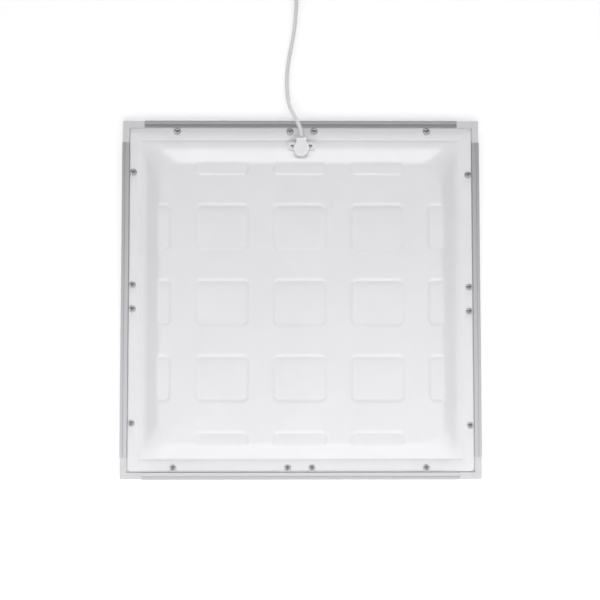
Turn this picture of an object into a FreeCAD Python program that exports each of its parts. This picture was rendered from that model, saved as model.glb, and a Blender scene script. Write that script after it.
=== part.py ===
import FreeCAD, Part
import Sketcher
import math
import os

# A square recessed LED panel light, lying face down: the lit face looks to -Z, the sheet-metal
# back to +Z. The origin is on the lit side's rim plane, under the middle of the frame. All in mm.

SIZES = {
    # aluminium frame of four rails between four moulded corner pieces
    "frame_side": 595.0,
    "corner_arm": 37.0,
    "joint_gap": 0.1,
    "rail_width": 25.0,
    "rail_height": 12.0,
    "rail_edge": 0.6,
    "bevel_low": 10.9,
    "line_start": 4.7,
    "line_width": 0.7,
    "line_floor": 10.3,
    "bevel_end": 11.7,
    "bevel_high": 11.9,
    "gutter_end": 12.9,
    "gutter_floor": 7.4,
    "ledge_height": 8.5,
    "lip_thick": 1.5,
    "slot_start": 15.0,
    "slot_height": 2.5,
    "rail_wall": 1.6,
    "chamber_end": 10.4,
    "chamber_top": 6.4,
    "corner_inset": 0.8,
    "corner_height": 11.4,
    "corner_round": 1.6,
    "leg_length": 30.0,
    "leg_root": 9.25,
    "leg_clearance": 0.15,
    # opal diffuser sheet in the frame's slot
    "diffuser_thick": 2.0,
    "diffuser_clearance": 0.6,
    # pressed steel back pan
    "pan_inset": 13.3,
    "pan_round": 6.5,
    "sheet_thick": 0.7,
    "rim_flat": 12.0,
    "rim_fall": 0.6,
    "rim_fall_run": 6.0,
    "groove_step": 1.1,
    "groove_run": 1.0,
    "foot_inset": 33.0,
    "foot_round": 15.0,
    "crown_rise": 23.4,
    "crown_round": 42.0,
    "run_side": 37.5,
    "run_front": 30.5,
    "run_cable": 52.5,
    "foot_bend": 0.34,
    "crown_bend": 0.22,
    # pressed pockets in the back
    "grid_overhang_across": 27.0,
    "grid_overhang_along": 25.0,
    "grid_shift_across": -2.0,
    "grid_shift_along": 4.0,
    "pocket_width": 91.0,
    "pocket_length": 80.5,
    "pocket_round": 12.0,
    "pocket_depth": 2.8,
    "pocket_draft": 6.0,
    "cutter_rise": 0.7,
    # screws and washers of the rim
    "screw_inset": 18.5,
    "screw_outer_pitch": 416.0,
    "screw_inner_pitch": 40.0,
    "screw_shift": 2.0,
    "screw_shank": 3.9,
    "screw_reach": 5.6,
    "screw_head": 8.0,
    "screw_head_thick": 2.5,
    "screw_dome": 0.9,
    "dome_fullness": 0.62,
    "screw_tip": 0.6,
    "recess_width": 4.4,
    "recess_slot": 1.1,
    "recess_depth": 1.5,
    "hole_clearance": 0.1,
    "pan_hole_clearance": 0.3,
    "washer_width": 12.0,
    "washer_hole": 4.4,
    "washer_thick": 1.0,
    # cable cover on the slope, with its two screws
    "cover_across": 1.0,
    "cover_end_inset": 31.5,
    "cover_width": 25.0,
    "cover_neck": 17.0,
    "cover_length": 29.6,
    "cover_top": 24.5,
    "cover_wall": 2.0,
    "cover_edge": 2.2,
    "cover_inner_edge": 0.8,
    "ear_offset": 2.75,
    "ear_inset": 12.0,
    "ear_width": 13.4,
    "ear_top": 14.6,
    "cover_screw_head": 6.0,
    "cover_screw_shank": 2.9,
    "cover_screw_head_thick": 2.0,
    "cover_screw_reach": 9.0,
    # lead, the bush and grommet that hold it, and the socket on its end
    "lead_width": 6.6,
    "lead_level": 15.7,
    "lead_fit": 0.1,
    "lead_straight": 13.0,
    "bush_width": 10.0,
    "grommet_width": 10.0,
    "grommet_start": 12.5,
    "grommet_length": 12.5,
    "tail_clearance": 2.0,
    "tail_length": 36.0,
    "socket_width": 11.0,
    "socket_length": 34.0,
    "socket_neck": 10.0,
    "socket_flare": 0.4,
    "socket_nose": 6.0,
    "socket_nose_width": 8.0,
    "socket_bore": 5.5,
    "socket_bore_depth": 9.5,
    "socket_pin": 2.1,
    "contact_wall": 0.6,
    # light strips inside
    "strip_end_gap": 12.0,
    "strip_width": 16.0,
    "strip_thick": 1.0,
    "tape_thick": 0.3,
    "tape_margin": 1.0,
    "chip_end": 47.0,
    "chip_side": 3.0,
    "chip_thick": 0.8,
    "lens_width": 15.0,
    "lens_height": 5.6,
    "lens_dome": 3.2,
    "lens_pocket": 4.6,
    "lens_pocket_depth": 2.2,
    "plug_block_width": 9.0,
    "plug_block_length": 12.0,
    "plug_block_thick": 3.2,
    "wire_width": 1.6,
    "wire_spacing": 3.0,
    "feed_spacing": 2.4,
    "feed_straight": 8.0,
}
CHIPS_PER_STRIP = 7
STRIPS = 4
SIDES = ("cable", "right", "front", "left")
POCKET_COLUMNS = 5
POCKET_ROWS = 5
BEND_STEPS = 4

# Hand-chosen points of the free lead after its straight start: how far across and beyond the
# cover's mouth, and how high. It bends over the frame's edge and runs on along the floor.
LEAD_FREE = (
    (-6.2, 28.5, 16.3),
    (-14.4, 44.0, 13.4),
    (-21.5, 60.0, 7.6),
    (-24.0, 82.0, 3.9),
    (-24.5, 110.0, 3.4),
    (-20.5, 142.0, 3.5),
    (-13.5, 176.0, 3.4),
    (-9.5, 208.0, 3.8),
    (-8.2, 234.0, 5.6),
    (-9.0, 254.0, 5.6),
)

# Sizes that follow from the others: the pan's crown, its grid of pockets and the light strips.
CROWN_ACROSS = "frame_side - 2 * foot_inset - 2 * run_side"
CROWN_ALONG = "frame_side - 2 * foot_inset - run_front - run_cable"
PITCH_ACROSS = f"( {CROWN_ACROSS} + 2 * grid_overhang_across ) / {POCKET_COLUMNS - 1}"
PITCH_ALONG = f"( {CROWN_ALONG} + 2 * grid_overhang_along ) / {POCKET_ROWS - 1}"
GRID_Y = "( run_front - run_cable ) / 2 + grid_shift_along"
STRIP_LENGTH = f"{CROWN_ACROSS} - 2 * strip_end_gap"
CHIP_PITCH = f"( {STRIP_LENGTH} - 2 * chip_end ) / {CHIPS_PER_STRIP - 1}"

doc = FreeCAD.newDocument("panel_light")
sheet = doc.addObject("Spreadsheet::Sheet", "Sizes")
for row, (name, value) in enumerate(SIZES.items(), 1):
    sheet.set(f"A{row}", name)
    sheet.set(f"B{row}", str(value))
    sheet.setAlias(f"B{row}", name)
doc.recompute()

nodes = {}


def size(name):
    return float(getattr(sheet, name))


def linked(expression):
    """The expression with every size's name led by the sheet's."""
    words = expression.replace("(", "( ").replace(")", " )").split(" ")
    return " ".join(f"Sizes.{w}" if w in SIZES else w for w in words)


def evaluate(expression):
    return float(sheet.evalExpression(linked(expression).replace("Sizes.", "")))


def keep(label, item, turn=0.0):
    """Take an object as a sub-part: its label names its node, turn places it about Z."""
    item.Label = label
    if turn:
        item.Placement = FreeCAD.Placement(
            FreeCAD.Vector(), FreeCAD.Rotation(FreeCAD.Vector(0, 0, 1), turn)
        )
    nodes[label] = item
    return item


def bind(item, **expressions):
    for key, expression in expressions.items():
        item.setExpression(key.replace("__", "."), linked(expression))


def box(name, length, width, height, place):
    item = doc.addObject("Part::Box", name)
    bind(item, Length=length, Width=width, Height=height)
    for axis, where in zip("xyz", place):
        item.setExpression(f"Placement.Base.{axis}", linked(where))
    return item


def cut(name, base, tool):
    item = doc.addObject("Part::Cut", name)
    item.Base = base
    item.Tool = tool
    return item


def fuse(name, shapes):
    item = doc.addObject("Part::MultiFuse", name)
    item.Shapes = shapes
    return item


def feature(label, shape, place=None):
    """A sub-part whose form comes from Part's own functions, put in its place after."""
    item = doc.addObject("Part::Feature", label)
    item.Shape = shape
    if place:
        item.Placement = place
    return keep(label, item)


# ---- frame rails: one extruded section, four screws each ----


def origin_plane(body, role):
    return next(f for f in body.Origin.OriginFeatures if f.Role == role)


def add_outline(sketch, corners):
    """Closed outline through corners, each held at its two distances from the sketch's origin."""
    first = len(sketch.Geometry)
    spots = [
        FreeCAD.Vector(*(evaluate(part) for part in corner), 0) for corner in corners
    ]
    count = len(corners)
    for k in range(count):
        sketch.addGeometry(Part.LineSegment(spots[k], spots[(k + 1) % count]), False)
    for k in range(count):
        last = first + (k - 1) % count
        sketch.addConstraint(Sketcher.Constraint("Coincident", last, 2, first + k, 1))
    for k, corner in enumerate(corners):
        for kind, part, value in zip(("DistanceX", "DistanceY"), corner, spots[k][:2]):
            index = sketch.addConstraint(
                Sketcher.Constraint(kind, -1, 1, first + k, 1, value)
            )
            sketch.setExpression(f"Constraints[{index}]", linked(part))


RAIL_OUTLINE = (
    ("0", "0"),
    ("rail_width", "0"),
    ("rail_width", "lip_thick"),
    ("slot_start", "lip_thick"),
    ("slot_start", "lip_thick + slot_height"),
    ("rail_width", "lip_thick + slot_height"),
    ("rail_width", "ledge_height"),
    ("gutter_end", "ledge_height"),
    ("gutter_end", "gutter_floor"),
    ("bevel_end", "gutter_floor"),
    ("bevel_end", "bevel_high"),
    ("line_start + line_width", "bevel_low"),
    ("line_start + line_width", "line_floor"),
    ("line_start", "line_floor"),
    ("line_start", "rail_height"),
    ("rail_edge", "rail_height"),
    ("0", "rail_height - rail_edge"),
)
CHAMBER_OUTLINE = (
    ("rail_wall", "rail_wall"),
    ("chamber_end", "rail_wall"),
    ("chamber_end", "chamber_top"),
    ("rail_wall", "chamber_top"),
)
SCREW_PLACES = (
    "screw_shift - screw_outer_pitch / 2",
    "screw_shift - screw_inner_pitch / 2",
    "screw_shift + screw_inner_pitch / 2",
    "screw_shift + screw_outer_pitch / 2",
)


def rail(side, turn):
    """An extruded rail along X, its outer face at the frame's +Y edge before it is turned."""
    body = doc.addObject("PartDesign::Body", f"Rail_{side}")
    section = body.newObject("Sketcher::SketchObject", f"Rail_section_{side}")
    section.AttachmentSupport = [(origin_plane(body, "YZ_Plane"), "")]
    section.MapMode = "FlatFace"
    for outline in (RAIL_OUTLINE, CHAMBER_OUTLINE):
        add_outline(section, [(f"frame_side / 2 - ({inset})", level) for inset, level in outline])
    pad = body.newObject("PartDesign::Pad", f"Rail_run_{side}")
    pad.Profile = section
    pad.SideType = "Symmetric"
    bind(pad, Length="frame_side - 2 * corner_arm - 2 * joint_gap")
    holes = body.newObject("Sketcher::SketchObject", f"Rail_holes_{side}")
    holes.AttachmentSupport = [(origin_plane(body, "XY_Plane"), "")]
    holes.MapMode = "FlatFace"
    holes.setExpression("AttachmentOffset.Base.z", linked("ledge_height"))
    for place in SCREW_PLACES:
        spot = FreeCAD.Vector(evaluate(place), evaluate("frame_side / 2 - screw_inset"), 0)
        hole = holes.addGeometry(Part.Circle(spot, FreeCAD.Vector(0, 0, 1), 1), False)
        for kind, part, value in (
            ("DistanceX", place, spot.x),
            ("DistanceY", "frame_side / 2 - screw_inset", spot.y),
        ):
            index = holes.addConstraint(Sketcher.Constraint(kind, -1, 1, hole, 3, value))
            holes.setExpression(f"Constraints[{index}]", linked(part))
        index = holes.addConstraint(Sketcher.Constraint("Diameter", hole, 2.0))
        holes.setExpression(
            f"Constraints[{index}]", linked("screw_shank + 2 * hole_clearance")
        )
    doc.recompute()
    solid = pad.Shape.Volume
    bores = body.newObject("PartDesign::Pocket", f"Rail_bores_{side}")
    bores.Profile = holes
    bores.Reversed = False
    bind(bores, Length="ledge_height - lip_thick - slot_height")
    doc.recompute()
    if not bores.Shape.Volume < solid:
        raise RuntimeError(f"the screw holes of the {side} rail cut nothing")
    return keep(f"frame_rail_{side}", body, turn)


# ---- moulded corner pieces with two legs that push into the rails ----


def corner(side, turn):
    """A flat-topped angle piece at the frame's +X +Y corner before it is turned."""
    edge = "frame_side / 2 - corner_inset"
    start = "frame_side / 2 - corner_arm"
    reach = "corner_arm - corner_inset"
    body = box(f"Corner_block_{side}", reach, reach, "corner_height", (start, start, "0"))
    rounded = doc.addObject("Part::Fillet", f"Corner_round_{side}")
    rounded.Base = body
    doc.recompute()
    high = evaluate(edge)
    upright = [
        n
        for n, e in enumerate(body.Shape.Edges, 1)
        if all(abs(v.X - high) < 1e-6 and abs(v.Y - high) < 1e-6 for v in e.Vertexes)
    ]
    rounded.Edges = [(n, size("corner_round"), size("corner_round")) for n in upright]
    window = "corner_arm - rail_width + joint_gap"
    opening = box(f"Corner_window_{side}", window, window, "corner_height + 2 * rail_wall",
                  (f"{start} - joint_gap", f"{start} - joint_gap", "0 - rail_wall"))
    rim = "corner_arm - bevel_end + joint_gap"
    seat = box(f"Corner_seat_{side}", rim, rim, "corner_height",
               (f"{start} - joint_gap", f"{start} - joint_gap", "ledge_height"))
    slot = "corner_arm - slot_start + joint_gap"
    groove = box(f"Corner_slot_{side}", slot, slot, "slot_height",
                 (f"{start} - joint_gap", f"{start} - joint_gap", "lip_thick"))
    shell = cut(f"Corner_shell_{side}", rounded,
                fuse(f"Corner_hollows_{side}", [opening, seat, groove]))
    thick = "chamber_end - rail_wall - 2 * leg_clearance"
    tall = "chamber_top - rail_wall - 2 * leg_clearance"
    inner = "frame_side / 2 - chamber_end + leg_clearance"
    low = "rail_wall + leg_clearance"
    leg_x = box(f"Corner_leg_x_{side}", "leg_length + leg_root", thick, tall,
                (f"{start} - leg_length", inner, low))
    leg_y = box(f"Corner_leg_y_{side}", thick, "leg_length + leg_root", tall,
                (inner, f"{start} - leg_length", low))
    return keep(f"corner_piece_{side}", fuse(f"Corner_{side}", [shell, leg_x, leg_y]), turn)


# ---- pressed back pan ----


def rounded_outline(x0, x1, y0, y1, radius, z):
    """A rectangle with arcs at its corners, always started at the same place."""
    r = radius
    vector = FreeCAD.Vector
    bow = r * (1 - math.sqrt(0.5))
    edges = []
    spots = (
        ((x0 + r, y0), (x1 - r, y0), (x1 - bow, y0 + bow), (x1, y0 + r)),
        ((x1, y0 + r), (x1, y1 - r), (x1 - bow, y1 - bow), (x1 - r, y1)),
        ((x1 - r, y1), (x0 + r, y1), (x0 + bow, y1 - bow), (x0, y1 - r)),
        ((x0, y1 - r), (x0, y0 + r), (x0 + bow, y0 + bow), (x0 + r, y0)),
    )
    for start, bend, middle, end in spots:
        a, b, c, d = (vector(*p, z) for p in (start, bend, middle, end))
        edges.append(Part.makeLine(a, b))
        edges.append(Part.Arc(b, c, d).toShape())
    return Part.Wire(edges)


def centred_outline(half, radius, z):
    return rounded_outline(-half, half, -half, half, radius, z)


def slope_share(share):
    """Height share of the slope at a share of its run: bent, straight, bent back."""
    foot, crown = size("foot_bend"), size("crown_bend")
    steep = 2 / (2 - foot - crown)
    if share < foot:
        return steep * share * share / (2 * foot)
    if share > 1 - crown:
        return 1 - steep * (1 - share) ** 2 / (2 * crown)
    return steep * (share - foot / 2)


def slope_shares():
    """Where the slope is cut into bands: close together in its two bends."""
    steps = range(BEND_STEPS + 1)
    foot = [size("foot_bend") * k / BEND_STEPS for k in steps]
    return foot + [1 - size("crown_bend") * k / BEND_STEPS for k in reversed(steps)]


def groove_levels():
    """Distance from the middle and height along the rim's fall and the groove at its foot."""
    rim = size("frame_side") / 2 - size("pan_inset") - size("rim_flat")
    fall, step = size("rim_fall"), size("groove_step")
    run = size("rim_fall_run")
    return (
        (rim, pan_top()),
        (rim - run, pan_top() - fall),
        (rim - run - size("groove_run"), pan_top() - fall - step),
    )


def foot_half():
    return size("frame_side") / 2 - size("foot_inset")


def slope_level(share):
    return groove_levels()[-1][1] + slope_share(share) * size("crown_rise")


def slope_outline(share):
    """The pan's level line at a share of the way up its slope."""
    half = foot_half()
    radius = size("foot_round") + share * (size("crown_round") - size("foot_round"))
    side = half - share * size("run_side")
    front = half - share * size("run_front")
    cable = half - share * size("run_cable")
    return rounded_outline(-side, side, -front, cable, radius, slope_level(share))


def pan_top():
    return size("ledge_height") + size("sheet_thick")


def crown_level():
    return slope_level(1)


def strip_row(number):
    """Y of a light strip, as an expression: the flat bands between the rows of pockets."""
    return f"{GRID_Y} + {(STRIPS + 1) / 2 - number} * ({PITCH_ALONG})"


def pocket_tools():
    """One drafted cutter for each pressed pocket; the grid's four corners stay plain."""
    tools = []
    top = crown_level()
    draft = size("pocket_draft") / size("pocket_depth")
    for column in range(POCKET_COLUMNS):
        for row in range(POCKET_ROWS):
            ends = (0, POCKET_COLUMNS - 1), (0, POCKET_ROWS - 1)
            if column in ends[0] and row in ends[1]:
                continue
            x = size("grid_shift_across")
            x += (column - (POCKET_COLUMNS - 1) / 2) * evaluate(PITCH_ACROSS)
            y = evaluate(GRID_Y) + (row - (POCKET_ROWS - 1) / 2) * evaluate(PITCH_ALONG)
            wires = []
            for rise in (size("cutter_rise"), -size("pocket_depth")):
                grow = rise * draft
                w = size("pocket_width") / 2 + grow
                l = size("pocket_length") / 2 + grow
                r = size("pocket_round") + grow
                wires.append(rounded_outline(x - w, x + w, y - l, y + l, r, top + rise))
            tools.append(Part.makeLoft(wires, True, True))
    return tools


def pan_form():
    """The pan as a full block under its upper face: rim, groove, slope, crown and pockets."""
    rim = size("frame_side") / 2 - size("pan_inset")
    block = Part.Face(centred_outline(rim, size("pan_round"), 0)).extrude(
        FreeCAD.Vector(0, 0, pan_top())
    )
    (start, top), (half, level), low = groove_levels()
    above = (2 * start - half, 2 * top - level)
    wires = [centred_outline(w, size("foot_round"), z) for w, z in (above, (half, level), low)]
    hollow = Part.makeLoft(wires, True, True)
    dome = Part.makeLoft([slope_outline(share) for share in slope_shares()], True, True)
    return block.cut(hollow).fuse(dome).cut(pocket_tools())


def slope_block():
    """The same upper face under the cable cover only, straight along X."""
    points = list(groove_levels())
    points += [
        (foot_half() - share * size("run_cable"), slope_level(share)) for share in slope_shares()
    ]
    start = size("cover_across") - size("cover_width")
    rim = size("frame_side") / 2
    corners = [(rim, 0), (rim, pan_top())] + points + [(points[-1][0], 0), (rim, 0)]
    outline = Part.makePolygon([FreeCAD.Vector(start, y, z) for y, z in corners])
    return Part.Face(outline).extrude(FreeCAD.Vector(2 * size("cover_width"), 0, 0))


def drill(x, y, width, low, high):
    return Part.makeCylinder(width / 2, high - low, FreeCAD.Vector(x, y, low))


def side_places():
    """For each side, the X and Y of its rim screws and the turn of that side."""
    reach = size("frame_side") / 2 - size("screw_inset")
    spots = [FreeCAD.Vector(evaluate(place), reach, 0) for place in SCREW_PLACES]
    for k, side in enumerate(SIDES):
        turn = FreeCAD.Rotation(FreeCAD.Vector(0, 0, 1), -90.0 * k)
        yield side, [turn.multVec(spot) for spot in spots]


def ear_places():
    half = size("cover_width") / 2 + size("ear_offset")
    y = size("frame_side") / 2 - size("cover_end_inset") - size("ear_inset")
    return [(size("cover_across") + k * half, y) for k in (-1, 1)]


def lead_bore(width, start, end):
    """A round bar on the lead's axis, from one Y to another."""
    where = FreeCAD.Vector(size("cover_across"), start, size("lead_level"))
    return Part.makeCylinder(width / 2, end - start, where, FreeCAD.Vector(0, 1, 0))


def cover_end():
    return size("frame_side") / 2 - size("cover_end_inset")


def back_pan(form):
    lowered = form.translated(FreeCAD.Vector(0, 0, -size("sheet_thick")))
    pan = form.cut(lowered)
    holes = [
        drill(spot.x, spot.y, size("screw_shank") + 2 * size("pan_hole_clearance"), 0, 2 * pan_top())
        for _, spots in side_places()
        for spot in spots
    ]
    holes += [
        drill(x, y, size("cover_screw_shank") + 2 * size("hole_clearance"), 0, 2 * pan_top())
        for x, y in ear_places()
    ]
    start = cover_end() - size("tail_length") - size("tail_clearance")
    width = size("grommet_width") + 2 * size("hole_clearance")
    holes.append(lead_bore(width, start, cover_end() - size("cover_wall")))
    return pan.cut(holes)


# ---- screws and washers ----


def screw(head, head_thick, dome, shank, reach, tip):
    """A pan-head screw with its head's underside at the origin and its shank down -Z."""
    r = head / 2
    vector = FreeCAD.Vector
    side = head_thick - dome
    outline = Part.Wire(
        [
            Part.makeLine(vector(0, 0, head_thick), vector(0, 0, -reach)),
            Part.makeLine(vector(0, 0, -reach), vector(shank / 2 - tip, 0, -reach)),
            Part.makeLine(vector(shank / 2 - tip, 0, -reach), vector(shank / 2, 0, -reach + tip)),
            Part.makeLine(vector(shank / 2, 0, -reach + tip), vector(shank / 2, 0, 0)),
            Part.makeLine(vector(shank / 2, 0, 0), vector(r, 0, 0)),
            Part.makeLine(vector(r, 0, 0), vector(r, 0, side)),
            Part.Arc(
                vector(r, 0, side),
                vector(r * math.sqrt(0.5), 0, side + dome * size("dome_fullness")),
                vector(0, 0, head_thick),
            ).toShape(),
        ]
    )
    body = Part.Face(outline).revolve(vector(), vector(0, 0, 1), 360)
    share = head / size("screw_head")
    width, slot = share * size("recess_width"), share * size("recess_slot")
    depth = share * size("recess_depth")
    bars = [
        Part.makeBox(a, b, depth + dome, vector(-a / 2, -b / 2, head_thick - depth))
        for a, b in ((width, slot), (slot, width))
    ]
    return body.cut(bars)


def spread(shape, spots):
    """Separate copies of one shape at several places, as one node."""
    return Part.Compound([shape.translated(spot) for spot in spots])


def rim_fasteners():
    washer = drill(0, 0, size("washer_width"), 0, size("washer_thick")).cut(
        drill(0, 0, size("washer_hole"), 0, size("washer_thick"))
    )
    bolt = screw(
        size("screw_head"),
        size("screw_head_thick"),
        size("screw_dome"),
        size("screw_shank"),
        size("screw_reach"),
        size("screw_tip"),
    )
    seat = FreeCAD.Vector(0, 0, pan_top())
    raised = seat + FreeCAD.Vector(0, 0, size("washer_thick"))
    for side, spots in side_places():
        feature(f"rim_washers_{side}", spread(washer, [s + seat for s in spots]))
        feature(f"rim_screws_{side}", spread(bolt, [s + raised for s in spots]))


# ---- cable cover, its screws and the lead's bush and grommet ----


def eased(solid, top, radius, plain=None):
    """The solid with its top edges rounded, apart from one straight edge at Y of plain."""
    rim = [
        e
        for e in solid.Edges
        if all(abs(v.Z - top) < 1e-6 for v in e.Vertexes)
        and not (plain and all(abs(v.Y - plain) < 1e-6 for v in e.Vertexes))
    ]
    return solid.makeFillet(radius, rim)


def cover_block(margin, top, edge):
    """A round cap with a straight neck towards the frame's side, drawn in by a margin."""
    x, end = size("cover_across"), cover_end()
    middle = end - size("cover_length") + size("cover_width") / 2
    half = size("cover_neck") / 2 - margin
    neck = Part.makeBox(
        2 * half, end - margin - middle, top, FreeCAD.Vector(x - half, middle, 0)
    )
    disc = drill(x, middle, size("cover_width") - 2 * margin, 0, top)
    return eased(disc, top, edge).fuse(eased(neck, top, edge, middle))


def cable_cover():
    """A hollow moulded cap whose foot follows the pan's slope, with two screw ears."""
    top, wall = size("cover_top"), size("cover_wall")
    body = cover_block(0, top, size("cover_edge"))
    inside = cover_block(wall, top - wall, size("cover_inner_edge"))
    ears = [drill(x, y, size("ear_width"), 0, size("ear_top")) for x, y in ear_places()]
    width = size("cover_screw_shank") + 2 * size("hole_clearance")
    shanks = [drill(x, y, width, 0, top) for x, y in ear_places()]
    mouth = lead_bore(size("bush_width"), cover_end() - 2 * wall, cover_end() + wall)
    way = size("lead_width") + 2 * size("lead_fit")
    foot = lead_bore(way, cover_end() - size("tail_length"), cover_end())
    hollows = [inside, mouth, foot, slope_block()]
    return body.fuse(ears).cut(hollows + shanks)


def cover_fasteners():
    bolt = screw(
        size("cover_screw_head"),
        size("cover_screw_head_thick"),
        size("screw_dome"),
        size("cover_screw_shank"),
        size("cover_screw_reach"),
        size("screw_tip"),
    )
    spots = [FreeCAD.Vector(x, y, size("ear_top")) for x, y in ear_places()]
    feature("cover_screws", spread(bolt, spots))


def sleeve(outside, start, end):
    """A rubber ring round the lead's axis."""
    inside = size("lead_width") + 2 * size("lead_fit")
    return lead_bore(outside, start, end).cut(lead_bore(inside, start, end))


def rounded_path(points):
    """Straight runs joined by tangent arcs, each as large as its two runs allow."""
    spots = [FreeCAD.Vector(*p) for p in points]
    edges = []
    start = spots[0]
    radii = []
    for before, here, after in zip(spots, spots[1:], spots[2:]):
        back, on = (before - here), (after - here)
        short = 0.45 * min(back.Length, on.Length)
        turn = math.pi - back.getAngle(on)
        radius = short / math.tan(turn / 2)
        back.normalize()
        on.normalize()
        enter, leave = here + back * short, here + on * short
        middle = back + on
        middle.normalize()
        inside = radius / math.cos(turn / 2) - radius
        edges.append(Part.LineSegment(start, enter).toShape())
        edges.append(Part.Arc(enter, here + middle * inside, leave).toShape())
        radii.append(radius)
        start = leave
    edges.append(Part.LineSegment(start, spots[-1]).toShape())
    return Part.Wire(edges), radii


def tube(points, width):
    """A round solid along a route, with its least radius and a check of its volume."""
    path, radii = rounded_path(points)
    spots = [FreeCAD.Vector(*p) for p in points[:2]]
    ring = Part.Wire([Part.makeCircle(width / 2, spots[0], spots[1] - spots[0])])
    solid = path.makePipeShell([ring], True, False)
    expected = math.pi * width * width / 4 * path.Length
    if abs(solid.Volume / expected - 1) > 0.01:
        raise RuntimeError(f"a tube has {solid.Volume:.0f} mm3 and not {expected:.0f}")
    print("tube", round(path.Length, 1), "mm long, radii", [round(r, 1) for r in radii])
    return solid


def lead_route():
    """The free lead's points: out of the cover's mouth straight, then on its own bends."""
    x, y, z = size("cover_across"), cover_end(), size("lead_level")
    straight = [(x, y, z), (x, y + size("lead_straight"), z)]
    return straight + [(x + across, y + beyond, high) for across, beyond, high in LEAD_FREE]


def lead_socket():
    """The moulded low-voltage socket on the lead's end, and the metal sleeve inside it."""
    before, end = (FreeCAD.Vector(*point) for point in lead_route()[-2:])
    way = end - before
    way = FreeCAD.Vector(way.x, way.y, 0)
    way.normalize()
    turn = FreeCAD.Rotation(FreeCAD.Vector(0, 0, 1), way)
    neck, long, nose = size("socket_neck"), size("socket_length"), size("socket_nose")
    body = Part.makeCone(size("lead_width") / 2 + size("socket_flare"), size("socket_width") / 2, neck)
    body = body.fuse(
        Part.makeCylinder(
            size("socket_width") / 2, long - neck - nose, FreeCAD.Vector(0, 0, neck)
        )
    )
    body = body.fuse(
        Part.makeCylinder(
            size("socket_nose_width") / 2, nose, FreeCAD.Vector(0, 0, long - nose)
        )
    )
    depth = size("socket_bore_depth")
    pin = size("socket_pin")
    shell = size("contact_wall")
    mouth = FreeCAD.Vector(0, 0, long - depth)
    bore = Part.makeCylinder(size("socket_bore") / 2 + shell, depth, mouth)
    lining = bore.cut(Part.makeCylinder(size("socket_bore") / 2, depth, mouth))
    contact = Part.makeCylinder(pin / 2, depth - shell, mouth)
    place = FreeCAD.Placement(end, turn)
    feature("lead_socket", body.cut(bore), place)
    feature("lead_socket_contacts", Part.Compound([lining, contact]), place)


# ---- light strips ----


def lens_shape():
    """A round diffusing lens with a hollow over its chip; its foot is at the top, on the board."""
    r, high = size("lens_width") / 2, size("lens_height")
    solid = Part.makeCylinder(r, high, FreeCAD.Vector(0, 0, -high))
    rim = [e for e in solid.Edges if all(abs(v.Z + high) < 1e-6 for v in e.Vertexes)]
    solid = solid.makeFillet(size("lens_dome"), rim)
    depth = size("lens_pocket_depth")
    return solid.cut(drill(0, 0, size("lens_pocket"), -depth, 0))


def board_face():
    """Level of the strips' lower faces, which their chips and lenses hang from."""
    return crown_level() - size("sheet_thick") - size("tape_thick") - size("strip_thick")


def strips():
    """Each strip: tape, board, chips and lenses, hung under the crown."""
    middle = (CHIPS_PER_STRIP - 1) / 2
    pitch = evaluate(CHIP_PITCH)
    xs = [size("grid_shift_across") + (k - middle) * pitch for k in range(CHIPS_PER_STRIP)]
    side = size("chip_side")
    chip = Part.makeBox(
        side, side, size("chip_thick"), FreeCAD.Vector(-side / 2, -side / 2, -size("chip_thick"))
    )
    lens = lens_shape()
    crown = "ledge_height - rim_fall - groove_step + crown_rise"
    for number in range(1, STRIPS + 1):
        row = strip_row(number)
        for kind, margin, thick, low in (
            ("tape", "tape_margin", "tape_thick", "tape_thick"),
            ("board", "0", "strip_thick", "tape_thick - strip_thick"),
        ):
            item = box(
                f"Strip_{kind}_{number}",
                f"{STRIP_LENGTH} - 2 * {margin}",
                f"strip_width - 2 * {margin}",
                thick,
                (
                    f"grid_shift_across - ({STRIP_LENGTH}) / 2 + {margin}",
                    f"{row} - strip_width / 2 + {margin}",
                    f"{crown} - {low}",
                ),
            )
            keep(f"strip_{kind}_{number}", item)
        spots = [FreeCAD.Vector(x, evaluate(row), board_face()) for x in xs]
        feature(f"strip_chips_{number}", spread(chip, spots))
        feature(f"strip_lenses_{number}", spread(lens, spots))


def wiring():
    """Wire blocks on the strips, the wires from strip to strip and the pair from the lead."""
    width, long, thick = (
        size("plug_block_width"), size("plug_block_length"), size("plug_block_thick"),
    )
    link_x = size("grid_shift_across") + 1.5 * evaluate(PITCH_ACROSS)
    feed_x = size("grid_shift_across") + evaluate(CHIP_PITCH) / 2
    rows = [evaluate(strip_row(number)) for number in range(1, STRIPS + 1)]
    vector = FreeCAD.Vector
    half = size("wire_spacing") / 2
    low = board_face() - thick
    level = board_face() - thick / 2
    for number, y in enumerate(rows, 1):
        xs = [link_x] + ([feed_x] if number == 1 else [])
        blocks = [
            Part.makeBox(width, long, thick, vector(x - width / 2, y - long / 2, low)) for x in xs
        ]
        feature(f"wire_blocks_{number}", Part.Compound(blocks))
    for number, (upper, lower) in enumerate(zip(rows, rows[1:]), 1):
        run = (upper - lower) - long
        wires = [
            Part.makeCylinder(
                size("wire_width") / 2, run, vector(link_x + k * half, lower + long / 2, level),
                vector(0, 1, 0),
            )
            for k in (-1, 1)
        ]
        feature(f"link_wires_{number}", Part.Compound(wires))
    tail_end = cover_end() - size("tail_length")
    first = rows[0] + long / 2
    lead_x, lead_z = size("cover_across"), size("lead_level")
    straight = size("feed_straight")
    pair = []
    for k in (-1, 1):
        start_x = lead_x + k * size("feed_spacing") / 2
        points = (
            (start_x, tail_end, lead_z),
            (start_x, tail_end - straight, lead_z),
            ((start_x + feed_x) / 2, (tail_end + first) / 2, (lead_z + level) / 2),
            (feed_x + k * half, first + straight, level),
            (feed_x + k * half, first, level),
        )
        pair.append(tube(points, size("wire_width")))
    feature("feed_wires", Part.Compound(pair))


# ---- the assembly ----

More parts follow.
